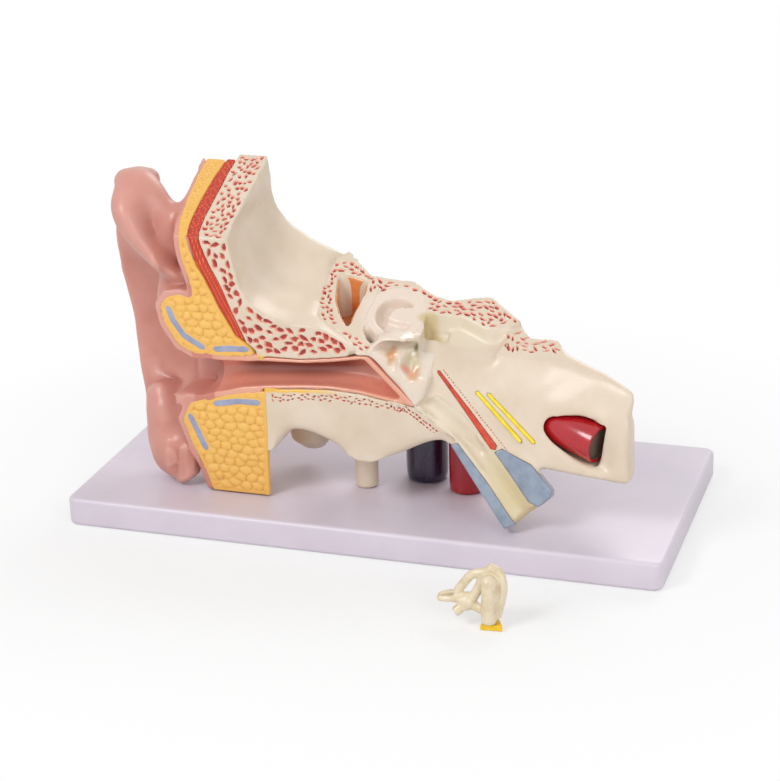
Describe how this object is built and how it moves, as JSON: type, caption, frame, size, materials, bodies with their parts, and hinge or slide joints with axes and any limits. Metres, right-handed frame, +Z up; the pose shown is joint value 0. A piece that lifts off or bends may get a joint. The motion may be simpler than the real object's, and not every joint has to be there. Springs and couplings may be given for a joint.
{
  "type": "ear anatomy model",
  "caption": "Sectioned ear anatomy model on a board, about three times life size, with cut bone, fat and canal, middle ear, vessels and a labyrinth that lifts off.",
  "frame": {"origin": "centre of the board's underside", "axes": "+X from the auricle to the petrous apex along the board, +Y to the back, +Z up"},
  "size_m": [0.3423, 0.225, 0.1965],
  "materials": {
    "board": "satin",
    "skin": "satin",
    "canal_skin": "satin",
    "fat": "satin",
    "cartilage": "satin",
    "tube_cartilage": "satin",
    "muscle": "satin",
    "bone": "satin",
    "antrum": "gloss",
    "cavity": "gloss",
    "artery": "gloss",
    "vein": "gloss",
    "nerve": "gloss",
    "labyrinth": "gloss",
    "screw": "brushed"
  },
  "bodies": {
    "root": {"baseboard": "board", "fixing_screw_1": "screw", "fixing_screw_2": "screw", "fixing_screw_3": "screw", "auricle": "skin", "upper_fat_pad": "fat", "lower_fat_pad": "fat", "auricular_cartilage_upper": "cartilage", "canal_cartilage_upper": "cartilage", "canal_cartilage_lower": "cartilage", "auricular_cartilage_lower": "cartilage", "temporal_muscle": "muscle", "temporal_squama": "bone", "canal_lining": "canal_skin", "tympanic_membrane": "canal_skin", "tegmen_wall": "bone", "antrum_lining": "antrum", "otic_capsule": "bone", "tympanic_cavity": "cavity", "petrous_bone": "bone", "tympanic_bone": "bone", "mastoid_process": "bone", "eustachian_tube": "bone", "tube_cartilage_lateral": "tube_cartilage", "tube_cartilage_medial": "tube_cartilage", "tensor_tympani": "muscle", "petrosal_nerve_lesser": "nerve", "petrosal_nerve_greater": "nerve", "carotid_artery_apex": "artery", "carotid_artery_stub": "artery", "jugular_vein_stub": "vein"},
    "labyrinth_body": {"labyrinth": "labyrinth", "labyrinth_nerve": "nerve"}
  },
  "joints": [
    {"name": "labyrinth_lift", "type": "slide", "parent": "root", "child": "labyrinth_body", "axis": [0, 0, 1], "range_m": [0, 0.18]}
  ]
}
